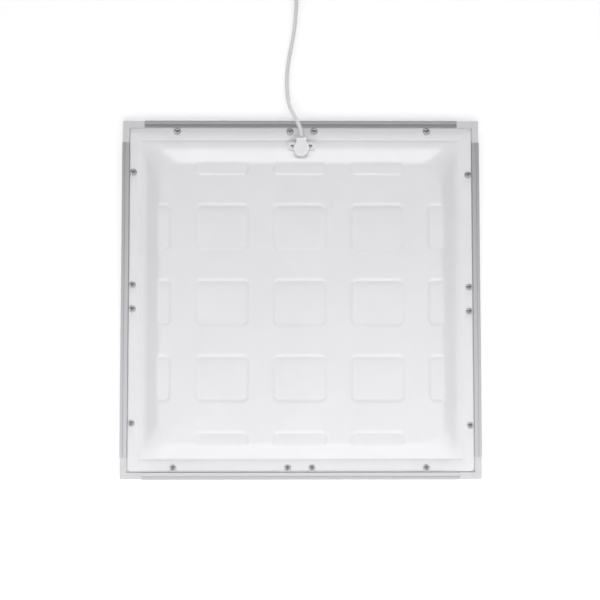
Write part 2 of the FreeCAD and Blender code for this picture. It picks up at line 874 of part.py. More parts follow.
for number, side in enumerate(SIDES):
    rail(side, -90.0 * number)
    corner(side, -90.0 * number)

diffuser = box(
    "Diffuser",
    "frame_side - 2 * slot_start - 2 * diffuser_clearance",
    "frame_side - 2 * slot_start - 2 * diffuser_clearance",
    "diffuser_thick",
    (
        "slot_start + diffuser_clearance - frame_side / 2",
        "slot_start + diffuser_clearance - frame_side / 2",
        "lip_thick",
    ),
)
keep("opal_diffuser", diffuser)

feature("back_pan", back_pan(pan_form()))
rim_fasteners()
feature("cable_cover", cable_cover())
cover_fasteners()
bush_start = cover_end() - size("cover_wall")
feature("cover_bush", sleeve(size("bush_width"), bush_start, cover_end()))
grommet_start = cover_end() - size("grommet_start") - size("grommet_length")
feature(
    "pan_grommet",
    sleeve(size("grommet_width"), grommet_start, grommet_start + size("grommet_length")),
)
feature(
    "lead_tail",
    lead_bore(size("lead_width"), cover_end() - size("tail_length"), cover_end()),
)
feature("lead", tube(lead_route(), size("lead_width")))
lead_socket()
strips()
wiring()

# ---- check and write ----

doc.recompute()
for item in doc.Objects:
    if any(word in item.State for word in ("Invalid", "Error")):
        raise RuntimeError(f"{item.Label} failed: {item.State}")
os.makedirs("parts", exist_ok=True)
for label, item in nodes.items():
    shape = item.Shape
    if shape.isNull() or not shape.isValid() or shape.Volume <= 0:
        raise RuntimeError(f"{label} has no sound shape")
for label, item in nodes.items():
    item.Shape.exportStep(os.path.join("parts", f"{label}.step"))
print("nodes", len(nodes))
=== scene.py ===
import math

import bpy
import numpy as np
from mathutils import Matrix, Vector


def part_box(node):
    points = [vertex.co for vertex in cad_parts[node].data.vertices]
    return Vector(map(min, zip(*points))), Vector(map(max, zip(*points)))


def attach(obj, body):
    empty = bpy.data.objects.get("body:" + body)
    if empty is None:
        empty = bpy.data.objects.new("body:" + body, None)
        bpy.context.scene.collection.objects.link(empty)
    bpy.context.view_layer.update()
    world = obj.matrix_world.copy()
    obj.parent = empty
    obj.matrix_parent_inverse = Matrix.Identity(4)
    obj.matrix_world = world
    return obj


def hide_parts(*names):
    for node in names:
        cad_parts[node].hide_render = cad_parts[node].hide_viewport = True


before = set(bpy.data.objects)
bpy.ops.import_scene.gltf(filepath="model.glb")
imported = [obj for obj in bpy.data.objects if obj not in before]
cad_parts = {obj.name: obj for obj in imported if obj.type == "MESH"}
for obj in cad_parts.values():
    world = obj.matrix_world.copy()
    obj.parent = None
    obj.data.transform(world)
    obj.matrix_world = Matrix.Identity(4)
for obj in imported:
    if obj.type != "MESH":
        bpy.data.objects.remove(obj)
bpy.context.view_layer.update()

# The back of a square lay-in LED panel, lying face down on a pale floor and seen from above.
# Metres, in the frame's own axes: +Z out of the back, +Y towards the side where the lead leaves.

MM = 0.001

# ---- sizes of the pressed back pan, in mm ----

FRAME_SIDE = 595.0
SHEET = 0.7
PAN_EDGE = FRAME_SIDE / 2 - 13.3      # half width of the pan
PAN_ROUND = 6.5
RIM_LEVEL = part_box("rim_washers_cable")[0][2] / MM   # the washers lie on the rim
CROWN_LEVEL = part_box("back_pan")[1][2] / MM
RIM_FLAT, RIM_FALL_RUN, GROOVE_RUN = 12.0, 6.0, 1.0
RIM_FALL, GROOVE_STEP = 0.6, 1.1
FOOT = FRAME_SIDE / 2 - 33.0          # half width where the slope starts
FOOT_ROUND, CROWN_ROUND = 15.0, 42.0
RUN_SIDE, RUN_FRONT, RUN_CABLE = 37.5, 30.5, 52.5
FOOT_BEND, CROWN_BEND = 0.34, 0.22
POCKETS = 5                           # pockets each way, the four corner ones left plain
POCKET_PITCH = (127.0, 124.0)
POCKET_SIZE = (91.0, 80.5)
POCKET_ROUND, POCKET_DEPTH, POCKET_DRAFT = 12.0, 2.8, 6.0
GRID_MIDDLE = (-2.0, -7.0)
FILM = 0.04                           # the finished sheet stays this far inside the solid one
HALVINGS = 24                         # steps of the search for a place's share of the slope
BEND_LINES = 2                        # mesh lines to a millimetre across the rim's fall
SLOPE_LINES = 16
WALL_LINES, FLOOR_LINES, FLOOR_LINE_GAP = 5, 4, 1.6   # on a pocket's wall and beside it
WIDEST_CELL, FLAT_CELL, LEAST_CELL = 7.0, 5.0, 0.35
PAN_CREASE, SMALL_CREASE = 50, 40     # degrees from which an edge is drawn sharp

# ---- sizes of the screws and washers, in mm ----

SCREW_INSET = 18.5                    # from the frame's outer side to the line of rim screws
SCREW_SPOTS = (-206.0, -18.0, 22.0, 210.0)   # along each side, clockwise
SCREW_TURNS = (0, -90, -180, -270)    # degrees, from the side where the lead leaves
RIM_SCREW = {"head": 8.0, "thick": 2.5, "dome": 0.9, "shank": 3.9, "reach": 5.6}
COVER_SCREW = {"head": 6.0, "thick": 2.0, "dome": 0.9, "shank": 2.9, "reach": 9.0}
RECESS_HEAD = 8.0                     # the head that the recess sizes are given for
RECESS_WIDTH, RECESS_SLOT, RECESS_DEPTH = 4.4, 1.2, 1.4
FLUTE_EDGE, FLUTE_WALL, FLUTE_END = 1.25, 0.6, 0.35   # softness, as shares of the slot and the half width
CROWN_RINGS, CROWN_REACH, CROWN_POWER = 20, 0.94, 2.4   # rings, share of the head's radius, fullness
HEAD_SIDE, SEAT_EDGE, SHANK_NECK, TIP_TAPER = 0.35, 0.12, 0.5, 0.5
SCREW_STEPS = 64                      # mesh steps round a screw and a washer
EDGE_STEPS = 3
WASHER_WIDTH, WASHER_HOLE, WASHER_THICK = 12.0, 4.4, 1.0
WASHER_EDGE = 0.18                    # rounding of the punched edges
EAR_SPOTS = ((-14.25, 254.0, 14.6), (16.25, 254.0, 14.6))
TURN_SEED = 7

# The lead's route, the same points as the solid's, in mm.
LEAD_ROUTE = (
    (1.0, 266.0, 15.7),
    (1.0, 279.0, 15.7),
    (-5.2, 294.5, 16.3),
    (-13.4, 310.0, 13.4),
    (-20.5, 326.0, 7.6),
    (-23.0, 348.0, 3.9),
    (-23.5, 376.0, 3.4),
    (-19.5, 408.0, 3.5),
    (-12.5, 442.0, 3.4),
    (-8.5, 474.0, 3.8),
    (-7.2, 500.0, 5.6),
    (-8.0, 520.0, 5.6),
)
LEAD_WIDTH = 6.6


# ---- materials ----


def linear(code):
    """A colour written as on the screen, as the shader's own numbers."""
    parts = [int(code[k : k + 2], 16) / 255 for k in (0, 2, 4)]
    return tuple(p / 12.92 if p <= 0.04045 else ((p + 0.055) / 1.055) ** 2.4 for p in parts) + (1.0,)


def add(tree, kind, **values):
    """A new node with its own settings and its sockets' plain values."""
    node = tree.nodes.new(kind)
    for name, setting in values.items():
        if hasattr(node, name):
            setattr(node, name, setting)
        else:
            node.inputs[name.replace("_", " ")].default_value = setting
    return node


def surface(name, colour, roughness, metallic=0.0, **sockets):
    """A material with its colour and roughness, ready for its detail."""
    material = bpy.data.materials.new(name)
    material.use_nodes = True
    tree = material.node_tree
    shader = tree.nodes["Principled BSDF"]
    shader.inputs["Base Color"].default_value = linear(colour)
    shader.inputs["Roughness"].default_value = roughness
    shader.inputs["Metallic"].default_value = metallic
    for socket, number in sockets.items():
        shader.inputs[socket.replace("_", " ")].default_value = number
    return material, tree, shader


def noise(tree, size_mm, detail=3.0, stretch=(1, 1, 1)):
    """Noise on the object's own coordinates whose grains are about size_mm wide."""
    place = add(tree, "ShaderNodeTexCoord")
    turn = add(tree, "ShaderNodeMapping")
    turn.inputs["Scale"].default_value = stretch
    grain = add(tree, "ShaderNodeTexNoise", Scale=1 / (size_mm * MM), Detail=detail)
    tree.links.new(place.outputs["Object"], turn.inputs["Vector"])
    tree.links.new(turn.outputs["Vector"], grain.inputs["Vector"])
    return grain.outputs["Fac"]


def ramp(tree, source, low, high, start=0.3, end=0.7):
    """A colour or value that goes from low to high as the source goes from start to end."""
    node = add(tree, "ShaderNodeValToRGB")
    first, last = node.color_ramp.elements
    first.position, first.color = start, low
    last.position, last.color = end, high
    tree.links.new(source, node.inputs["Fac"])
    return node.outputs["Color"]


def grey(number):
    """A plain value, as a colour that a ramp can hold."""
    return (number, number, number, 1.0)


def shine(tree, shader, source, low, high):
    """Lets the roughness wander from low to high with the source."""
    tree.links.new(ramp(tree, source, grey(low), grey(high)), shader.inputs["Roughness"])


def tint(tree, shader, source, low, high):
    """Lets the colour wander between two shades with the source."""
    tree.links.new(ramp(tree, source, linear(low), linear(high)), shader.inputs["Base Color"])


def bump(tree, shader, source, depth_mm, strength=1.0):
    """Raises the surface by the source, up to depth_mm."""
    node = add(tree, "ShaderNodeBump", Strength=strength, Distance=depth_mm * MM)
    tree.links.new(source, node.inputs["Height"])
    tree.links.new(node.outputs["Normal"], shader.inputs["Normal"])


def powder_coat():
    """White baked powder paint on steel: a faint orange peel, even and half glossy."""
    material, tree, shader = surface("white_powder_coat_on_steel", "F0F0F2", 0.34)
    tint(tree, shader, noise(tree, 60, 2), "EFEFF1", "F2F2F4")
    shine(tree, shader, noise(tree, 9, 3), 0.31, 0.38)
    bump(tree, shader, noise(tree, 1.4, 2), 0.012, 0.6)
    return material


def drawn_aluminium(name, along):
    """Extruded aluminium, lightly anodised: fine die lines along the rail and a satin shine."""
    material, tree, shader = surface(name, "E0E0E3", 0.34, 1.0)
    stretch = (0.004, 1, 1) if along == "x" else (1, 0.004, 1)
    lines = noise(tree, 0.5, 2, stretch)
    shine(tree, shader, lines, 0.31, 0.37)
    tint(tree, shader, noise(tree, 2.5, 2, stretch), "DEDEE1", "E2E2E5")
    bump(tree, shader, lines, 0.001, 0.3)
    return material


def grey_moulding():
    """Light grey moulded corner plastic with a fine spark-eroded texture."""
    material, tree, shader = surface("light_grey_abs", "DCDCDE", 0.46)
    tint(tree, shader, noise(tree, 14, 3), "D9D9DB", "DFDFE1")
    bump(tree, shader, noise(tree, 0.5, 2), 0.015, 0.5)
    return material


def bright_zinc(name, colour, metal):
    """Bright zinc plating with faint swirls from the plating drum."""
    material, tree, shader = surface(name, colour, 0.24, metal)
    shine(tree, shader, noise(tree, 1.6, 4), 0.16, 0.34)
    bump(tree, shader, noise(tree, 0.6, 3), 0.006, 0.4)
    return material


def white_moulding(name, colour, roughness):
    """White moulded plastic: slightly warm, with a soft shine and a fine texture."""
    material, tree, shader = surface(name, colour, roughness)
    shine(tree, shader, noise(tree, 5, 3), roughness - 0.04, roughness + 0.05)
    bump(tree, shader, noise(tree, 0.6, 2), 0.01, 0.4)
    return material


def soft_jacket(name, colour):
    """Soft PVC jacket: satin, with the faint waviness of extrusion."""
    material, tree, shader = surface(name, colour, 0.42)
    shine(tree, shader, noise(tree, 7, 3), 0.38, 0.5)
    bump(tree, shader, noise(tree, 2.5, 2), 0.02, 0.5)
    return material


def matt_rubber():
    """Grey rubber, dull all over."""
    material, tree, shader = surface("grey_rubber", "8C8C8E", 0.7)
    bump(tree, shader, noise(tree, 0.4, 3), 0.02, 0.5)
    return material


def opal_sheet():
    """Opal polystyrene diffuser: milky, with a fine satin face."""
    material, tree, shader = surface("opal_polystyrene", "F3F3EF", 0.38)
    shine(tree, shader, noise(tree, 30, 2), 0.35, 0.42)
    bump(tree, shader, noise(tree, 0.25, 2), 0.01, 0.4)
    return material


def inner_finish(name, colour, roughness, metallic=0.0):
    """The finish of a hidden piece, with a slight unevenness of its shine."""
    material, tree, shader = surface(name, colour, roughness, metallic)
    shine(tree, shader, noise(tree, 3, 3), roughness - 0.05, roughness + 0.05)
    return material


def clear_lens():
    """Clear moulded acrylic, nearly without a pattern."""
    material, tree, shader = surface("clear_acrylic", "F4F6F7", 0.08, Transmission_Weight=0.9)
    bump(tree, shader, noise(tree, 1.5, 2), 0.01, 0.2)
    return material


RAILS_ACROSS = drawn_aluminium("drawn_aluminium_across", "x")
RAILS_ALONG = drawn_aluminium("drawn_aluminium_along", "y")
FINISHES = (
    ("frame_rail_cable", RAILS_ACROSS),
    ("frame_rail_front", RAILS_ACROSS),
    ("frame_rail_", RAILS_ALONG),
    ("corner_piece_", grey_moulding()),
    ("opal_diffuser", opal_sheet()),
    ("cable_cover", white_moulding("white_abs", "F7F7F7", 0.36)),
    ("lead_socket_contacts", inner_finish("nickelled_brass", "C9C3AE", 0.25, 1.0)),
    ("lead_socket", white_moulding("white_soft_pvc", "E6E6E6", 0.45)),
    ("lead_tail", soft_jacket("white_pvc_tail", "E4E4E6")),
    ("cover_bush", matt_rubber()),
    ("pan_grommet", matt_rubber()),
    ("strip_tape_", inner_finish("grey_thermal_tape", "C4C4C4", 0.6)),
    ("strip_board_", inner_finish("white_solder_mask", "EEEEEA", 0.4)),
    ("strip_chips_", inner_finish("yellow_phosphor", "E5C84A", 0.5)),
    ("strip_lenses_", clear_lens()),
    ("wire_blocks_", inner_finish("white_nylon", "EAE8E0", 0.45)),
    ("link_wires_", inner_finish("red_wire_pvc", "B02420", 0.4)),
    ("feed_wires", inner_finish("red_feed_pvc", "B02420", 0.4)),
)


def finish_nodes():
    """Each CAD node gets the finish of the first name that its own name starts with."""
    for name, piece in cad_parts.items():
        material = next((m for start, m in FINISHES if name.startswith(start)), None)
        if material:
            piece.data.materials.clear()
            piece.data.materials.append(material)


# ---- back pan ----


def rounded_distance(x, y, low, high, radius):
    """Signed distance to a rounded rectangle between two corners, less than 0 inside."""
    dx = np.maximum(low[0] + radius - x, x - high[0] + radius)
    dy = np.maximum(low[1] + radius - y, y - high[1] + radius)
    outside = np.hypot(np.maximum(dx, 0), np.maximum(dy, 0))
    return outside + np.minimum(np.maximum(dx, dy), 0) - radius


def soft_step(share):
    """0 below 0, 1 above 1, and a soft rise between."""
    share = np.clip(share, 0, 1)
    return share * share * (3 - 2 * share)


def slope_share(share):
    """Height share of the slope: bent up, straight, bent back."""
    steep = 2 / (2 - FOOT_BEND - CROWN_BEND)
    low = steep * share * share / (2 * FOOT_BEND)
    high = 1 - steep * (1 - share) ** 2 / (2 * CROWN_BEND)
    middle = steep * (share - FOOT_BEND / 2)
    return np.where(share < FOOT_BEND, low, np.where(share > 1 - CROWN_BEND, high, middle))


def share_up_slope(x, y):
    """How far up its slope each place is, found by halving between foot and crown."""
    low, high = np.zeros_like(x), np.ones_like(x)
    for _ in range(HALVINGS):
        share = (low + high) / 2
        radius = FOOT_ROUND + share * (CROWN_ROUND - FOOT_ROUND)
        side = FOOT - share * RUN_SIDE
        corners = (-side, -(FOOT - share * RUN_FRONT)), (side, FOOT - share * RUN_CABLE)
        inside = rounded_distance(x, y, *corners, radius) < 0
        low, high = np.where(inside, share, low), np.where(inside, high, share)
    return low


def pocket_places():
    """Middles of the pressed pockets."""
    last = POCKETS - 1
    for column in range(POCKETS):
        for row in range(POCKETS):
            if column in (0, last) and row in (0, last):
                continue
            yield tuple(
                GRID_MIDDLE[k] + (n - last / 2) * POCKET_PITCH[k] for k, n in enumerate((column, row))
            )


def pan_height(x, y):
    """Level of the pan's upper face, in mm, with every bend as soft as pressed steel's."""
    inward = -rounded_distance(x, y, (-PAN_EDGE, -PAN_EDGE), (PAN_EDGE, PAN_EDGE), PAN_ROUND)
    rim = RIM_LEVEL - RIM_FALL * soft_step((inward - RIM_FLAT) / RIM_FALL_RUN)
    rim -= GROOVE_STEP * soft_step((inward - RIM_FLAT - RIM_FALL_RUN) / GROOVE_RUN)
    foot = RIM_LEVEL - RIM_FALL - GROOVE_STEP
    share = share_up_slope(x, y)
    level = np.maximum(rim, foot) + slope_share(share) * (CROWN_LEVEL - foot)
    for middle in pocket_places():
        low = [m - s / 2 for m, s in zip(middle, POCKET_SIZE)]
        high = [m + s / 2 for m, s in zip(middle, POCKET_SIZE)]
        inside = -rounded_distance(x, y, low, high, POCKET_ROUND)
        floor = CROWN_LEVEL - POCKET_DEPTH * soft_step(inside / POCKET_DRAFT)
        level = np.where(inside > 0, np.minimum(level, floor), level)
    return level - FILM


def grid_lines(axis):
    """Mesh lines along one axis: close together at every bend, wider on the flats."""
    lines = [-PAN_EDGE, PAN_EDGE]
    bends = [k / BEND_LINES for k in range(BEND_LINES * int(RIM_FALL_RUN + GROOVE_RUN) + BEND_LINES)]
    lines += [s * (PAN_EDGE - RIM_FLAT - b) for b in bends for s in (-1, 1)]
    runs = (RUN_SIDE, RUN_SIDE) if axis == 0 else (RUN_FRONT, RUN_CABLE)
    for sign, run in zip((-1, 1), runs):
        lines += [sign * (FOOT - run * k / SLOPE_LINES) for k in range(SLOPE_LINES + 1)]
    for n in range(POCKETS):
        middle = GRID_MIDDLE[axis] + (n - (POCKETS - 1) / 2) * POCKET_PITCH[axis]
        half = POCKET_SIZE[axis] / 2
        wall = [half - POCKET_DRAFT * k / WALL_LINES for k in range(-1, WALL_LINES + 2)]
        bed = [half - POCKET_DRAFT - FLOOR_LINE_GAP * k for k in range(1, FLOOR_LINES + 1)]
        lines += [middle + sign * reach for sign in (-1, 1) for reach in wall + bed]
    lines = sorted(v for v in lines if abs(v) <= PAN_EDGE)
    kept = [lines[0]]
    for line in lines[1:]:
        while line - kept[-1] > WIDEST_CELL:
            kept.append(kept[-1] + FLAT_CELL)
        if line - kept[-1] > LEAST_CELL:
            kept.append(line)
    kept[-1] = PAN_EDGE
    return np.array(kept)


def rounded_corner(x, y):
    """Draws the grid's corner places in to the pan's rounded corner."""
    inner = PAN_EDGE - PAN_ROUND
    ax, ay = np.abs(x) - inner, np.abs(y) - inner
    corner = (ax > 0) & (ay > 0)
    reach = np.maximum(ax, ay)
    length = np.where(corner, np.hypot(ax, ay), 1.0)
    scale = np.where(corner, reach / np.maximum(length, 1e-9), 1.0)
    nx = np.where(corner, np.sign(x) * (inner + ax * scale), x)
    ny = np.where(corner, np.sign(y) * (inner + ay * scale), y)
    return nx, ny


def pressed_pan():
    """The pan as one closed sheet: an upper face, the same face lower down, and its edge."""
    xs, ys = grid_lines(0), grid_lines(1)
    x, y = np.meshgrid(xs, ys)
    x, y = rounded_corner(x, y)
    top = pan_height(x, y)
    flat = np.stack([x, y, top], -1).reshape(-1, 3)
    below = flat - np.array([0, 0, SHEET])
    columns, rows = len(xs), len(ys)
    count = columns * rows
    quads = []
    for j in range(rows - 1):
        for i in range(columns - 1):
            a = j * columns + i
            b, c, d = a + 1, a + columns + 1, a + columns
            quads.append((a, b, c, d))
            quads.append((count + a, count + d, count + c, count + b))
    ring = list(range(columns))
    ring += [j * columns + columns - 1 for j in range(1, rows)]
    ring += [(rows - 1) * columns + i for i in range(columns - 2, -1, -1)]
    ring += [j * columns for j in range(rows - 2, 0, -1)]
    for k, a in enumerate(ring):
        b = ring[(k + 1) % len(ring)]
        quads.append((a, count + a, count + b, b))
    mesh = bpy.data.meshes.new("pressed_back_pan")
    mesh.from_pydata((np.vstack([flat, below]) * MM).tolist(), [], quads)
    mesh.shade_smooth()
    mesh.set_sharp_from_angle(angle=math.radians(PAN_CREASE))
    mesh.materials.append(powder_coat())
    pan = bpy.data.objects.new("pressed_back_pan", mesh)
    bpy.context.collection.objects.link(pan)
    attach(pan, "root")
    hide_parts("back_pan")
    return pan


# ---- screws and washers ----


def recess_depth(x, y, head):
    """Depth of a cross recess whose four flutes narrow towards their floor."""
    share = head / RECESS_HEAD
    half, slot = share * RECESS_WIDTH / 2, share * RECESS_SLOT / 2
    along = np.maximum(np.abs(x), np.abs(y))
    across = np.minimum(np.abs(x), np.abs(y))
    side = soft_step((slot * FLUTE_EDGE - across) / (slot * FLUTE_WALL))
    end = soft_step((half - along) / (half * FLUTE_END))
    return share * RECESS_DEPTH * side * end


def screw_profile(head, thick, dome, shank, reach):
    """Radius and height along the screw's outline, from its crown to its tip."""
    rim, core = head / 2, shank / 2
    shares = [k / CROWN_RINGS for k in range(1, CROWN_RINGS + 1)]
    crown = [(rim * CROWN_REACH * share, thick - dome * share ** CROWN_POWER) for share in shares]
    edge = [(rim, thick - dome - HEAD_SIDE), (rim, SEAT_EDGE), (rim - SEAT_EDGE, 0.0)]
    shaft = [(core, 0.0), (core, SHANK_NECK - reach), (core - TIP_TAPER, -reach)]
    return crown + edge + shaft


def screw_mesh(name, sizes):
    """One pan-head screw as a closed mesh: seat of the head at the origin, shank down."""
    profile = screw_profile(**sizes)
    steps = SCREW_STEPS
    angles = np.linspace(0, 2 * math.pi, steps, endpoint=False)
    points = [(0, 0, sizes["thick"] - float(recess_depth(0.0, 0.0, sizes["head"])))]
    for k, (radius, height) in enumerate(profile):
        x, y = radius * np.cos(angles), radius * np.sin(angles)
        z = height - (recess_depth(x, y, sizes["head"]) if k < CROWN_RINGS else 0 * x)
        points += list(zip(x, y, z))
    points.append((0, 0, -sizes["reach"]))
    faces = [(0, 1 + k, 1 + (k + 1) % steps) for k in range(steps)]
    for ring in range(len(profile) - 1):
        for k in range(steps):
            a, b = 1 + ring * steps + k, 1 + ring * steps + (k + 1) % steps
            faces.append((a, a + steps, b + steps, b))
    first = 1 + (len(profile) - 1) * steps
    faces += [(first + k, len(points) - 1, first + (k + 1) % steps) for k in range(steps)]
    mesh = bpy.data.meshes.new(name)
    mesh.from_pydata([tuple(float(c) * MM for c in p) for p in points], [], faces)
    mesh.shade_smooth()
    mesh.set_sharp_from_angle(angle=math.radians(SMALL_CREASE))
    return mesh


def node_tree(name, inputs):
    """An empty geometry tree with named inputs, its way in and its way out."""
    tree = bpy.data.node_groups.new(name, "GeometryNodeTree")
    tree.interface.new_socket("Geometry", in_out="INPUT", socket_type="NodeSocketGeometry")
    for label, kind in inputs:
        tree.interface.new_socket(label, in_out="INPUT", socket_type=kind)
    tree.interface.new_socket("Geometry", in_out="OUTPUT", socket_type="NodeSocketGeometry")
    return tree, add(tree, "NodeGroupInput"), add(tree, "NodeGroupOutput")


def work_out(tree, operation, first, second):
    """A sum, difference or product of two sockets or numbers."""
    node = add(tree, "ShaderNodeMath", operation=operation)
    for socket, source in zip(node.inputs, (first, second)):
        if isinstance(source, float):
            socket.default_value = source
        else:
            tree.links.new(source, socket)
    return node.outputs[0]


def place_copies(tree, start, end, piece):
    """Puts a piece at every point, each turned by chance, makes them real and paints them."""
    chance = add(tree, "FunctionNodeRandomValue", data_type="FLOAT")
    turn = add(tree, "ShaderNodeCombineXYZ")
    copies = add(tree, "GeometryNodeInstanceOnPoints")
    real = add(tree, "GeometryNodeRealizeInstances")
    paint = add(tree, "GeometryNodeSetMaterial")
    smooth = add(tree, "GeometryNodeSetShadeSmooth")
    chance.inputs[2].default_value = 0.0
    tree.links.new(start.outputs["Largest Turn"], chance.inputs[3])
    tree.links.new(start.outputs["Seed"], chance.inputs["Seed"])
    tree.links.new(chance.outputs[1], turn.inputs["Z"])
    tree.links.new(start.outputs["Geometry"], copies.inputs["Points"])
    tree.links.new(piece, copies.inputs["Instance"])
    tree.links.new(turn.outputs[0], copies.inputs["Rotation"])
    tree.links.new(copies.outputs[0], real.inputs[0])
    tree.links.new(real.outputs[0], smooth.inputs[0])
    tree.links.new(smooth.outputs[0], paint.inputs["Geometry"])
    tree.links.new(start.outputs["Finish"], paint.inputs["Material"])
    tree.links.new(paint.outputs[0], end.inputs[0])


COPY_INPUTS = (
    ("Largest Turn", "NodeSocketFloat"),
    ("Seed", "NodeSocketInt"),
    ("Finish", "NodeSocketMaterial"),
)


def washer_tree():
    """Flat washers: a rounded rectangle carried round a circle, one at every point."""
    tree, start, end = node_tree("punched_washers", COPY_INPUTS + (
        ("Washer Width", "NodeSocketFloat"),
        ("Hole Width", "NodeSocketFloat"),
        ("Thickness", "NodeSocketFloat"),
        ("Edge Rounding", "NodeSocketFloat"),
    ))
    wide, hole = start.outputs["Washer Width"], start.outputs["Hole Width"]
    middle = work_out(tree, "MULTIPLY", work_out(tree, "ADD", wide, hole), 0.25)
    band = work_out(tree, "MULTIPLY", work_out(tree, "SUBTRACT", wide, hole), 0.5)
    circle = add(tree, "GeometryNodeCurvePrimitiveCircle", Resolution=SCREW_STEPS)
    section = add(tree, "GeometryNodeCurvePrimitiveQuadrilateral")
    fillet = add(tree, "GeometryNodeFilletCurve", mode="POLY", Count=EDGE_STEPS)
    sweep = add(tree, "GeometryNodeCurveToMesh")
    tree.links.new(middle, circle.inputs["Radius"])
    tree.links.new(start.outputs["Thickness"], section.inputs["Height"])
    tree.links.new(band, section.inputs["Width"])
    tree.links.new(section.outputs[0], fillet.inputs["Curve"])
    tree.links.new(start.outputs["Edge Rounding"], fillet.inputs["Radius"])
    tree.links.new(circle.outputs[0], sweep.inputs["Curve"])
    tree.links.new(fillet.outputs[0], sweep.inputs["Profile Curve"])
    place_copies(tree, start, end, sweep.outputs[0])
    return tree


def screw_tree():
    """Screws: one modelled screw at every point, its cross recess turned by chance."""
    tree, start, end = node_tree("driven_screws", COPY_INPUTS + (("Screw", "NodeSocketObject"),))
    model = add(tree, "GeometryNodeObjectInfo")
    tree.links.new(start.outputs["Screw"], model.inputs["Object"])
    place_copies(tree, start, end, model.outputs["Geometry"])
    return tree


def grow(name, spots, tree, values, replaced):
    """Runs a tree on points and keeps its result as one plain mesh in place of some nodes."""
    cloud = bpy.data.meshes.new(name)
    cloud.from_pydata([tuple(c * MM for c in spot) for spot in spots], [], [])
    piece = bpy.data.objects.new(name, cloud)
    bpy.context.collection.objects.link(piece)
    nodes = piece.modifiers.new(name, "NODES")
    nodes.node_group = tree
    for item in tree.interface.items_tree:
        if item.in_out == "INPUT" and item.name in values:
            nodes[item.identifier] = values[item.name]
    seen = piece.evaluated_get(bpy.context.evaluated_depsgraph_get())
    mesh = bpy.data.meshes.new_from_object(seen)
    piece.modifiers.clear()
    piece.data = mesh
    mesh.name = name
    mesh.set_sharp_from_angle(angle=math.radians(SMALL_CREASE))
    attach(piece, "root")
    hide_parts(*replaced)
    return piece


def rim_spots(level):
    """Places of the rim's screws on all four sides, at one level."""
    reach = FRAME_SIDE / 2 - SCREW_INSET
    spots = []
    for turn in SCREW_TURNS:
        c, s = math.cos(math.radians(turn)), math.sin(math.radians(turn))
        spots += [(c * along - s * reach, s * along + c * reach, level) for along in SCREW_SPOTS]
    return spots


def fasteners():
    """Washers and screws of the rim, and the two screws of the cable cover."""
    sides = ("cable", "right", "front", "left")
    washer_finish = bright_zinc("bright_zinc_washer", "DADADC", 0.85)
    screw_finish = bright_zinc("bright_zinc_screw", "B6B6BA", 1.0)
    grow("rim_washer_set", rim_spots(RIM_LEVEL + WASHER_THICK / 2), washer_tree(), {
        "Largest Turn": math.pi,
        "Seed": TURN_SEED,
        "Finish": washer_finish,
        "Washer Width": WASHER_WIDTH * MM,
        "Hole Width": WASHER_HOLE * MM,
        "Thickness": WASHER_THICK * MM,
        "Edge Rounding": WASHER_EDGE * MM,
    }, [f"rim_washers_{side}" for side in sides])
    tree = screw_tree()
    for name, spots, sizes, replaced in (
        ("rim_screw_set", rim_spots(RIM_LEVEL + WASHER_THICK), RIM_SCREW,
         [f"rim_screws_{side}" for side in sides]),
        ("cover_screw_pair", EAR_SPOTS, COVER_SCREW, ["cover_screws"]),
    ):
        model = bpy.data.objects.new(f"{name}_model", screw_mesh(f"{name}_model", sizes))
        bpy.context.collection.objects.link(model)
        grow(name, spots, tree, {
            "Largest Turn": math.pi,
            "Seed": TURN_SEED + len(spots),
            "Finish": screw_finish,
            "Screw": model,
        }, replaced)
        bpy.data.objects.remove(model)


# ---- lead ----


def lead():
    """The free lead, one smooth curve through the route, from the cover to its socket."""
    curve = bpy.data.curves.new("low_voltage_lead", "CURVE")
    curve.dimensions = "3D"
    curve.bevel_depth = LEAD_WIDTH / 2 * MM
    curve.bevel_resolution = 6
    curve.resolution_u = 12
    curve.use_fill_caps = True
    spline = curve.splines.new("NURBS")
    spline.points.add(len(LEAD_ROUTE) - 1)
    for point, place in zip(spline.points, LEAD_ROUTE):
        point.co = (*(c * MM for c in place), 1.0)
    spline.order_u = 3
    spline.use_endpoint_u = True
    piece = bpy.data.objects.new("low_voltage_lead", curve)
    bpy.context.collection.objects.link(piece)
    curve.materials.append(soft_jacket("white_pvc_jacket", "E6E6E8"))
    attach(piece, "root")
    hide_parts("lead")


# ---- floor, light and camera ----

WORLD_LEVEL = 0.3
FLOOR_HALF = 30.0
FLOOR_GLOW = 0.3                       # near the object
FLOOR_FADE = (1.0, 2.4)                # from here out to here the floor fades to full white
MIRROR_BACK, MIRROR_FRONT = (0.3, 0.25), (-0.15, 1.0)   # share of +Y in the way up, and level there
LAMPS = {
    # name: place, target, width, length, power
    "overhead_front": ((0.1, -1.0, 1.1), (0, -0.1, 0), 3.0, 1.2, 22.5),
    "side_left": ((-2.4, 0.2, 1.4), (0, 0, 0), 1.6, 1.2, 5.8),
    "side_right": ((2.4, 0.2, 1.4), (0, 0, 0), 1.6, 1.2, 2.4),
    "low_back": ((0.0, 2.4, 0.55), (0, 0, 0), 2.2, 0.5, 28.2),
}
UNMIRRORED = ("overhead_front",)      # its bright face isn't mirrored by the metal
CAMERA_PLACE = (-0.01114, -0.07739, 1.49808)
CAMERA_TILT_X, CAMERA_TILT_Y = 2.875, -0.374     # degrees off straight down
SENSOR_MM = 36.0
FOCAL_PIXELS, FRAME_PIXELS = 900.0, 600.0


def aim(thing, place, target):
    """Puts a thing at a place, with its -Z towards the target."""
    way = Vector(target) - Vector(place)
    thing.matrix_world = Matrix.Translation(place) @ way.to_track_quat("-Z", "Y").to_matrix().to_4x4()


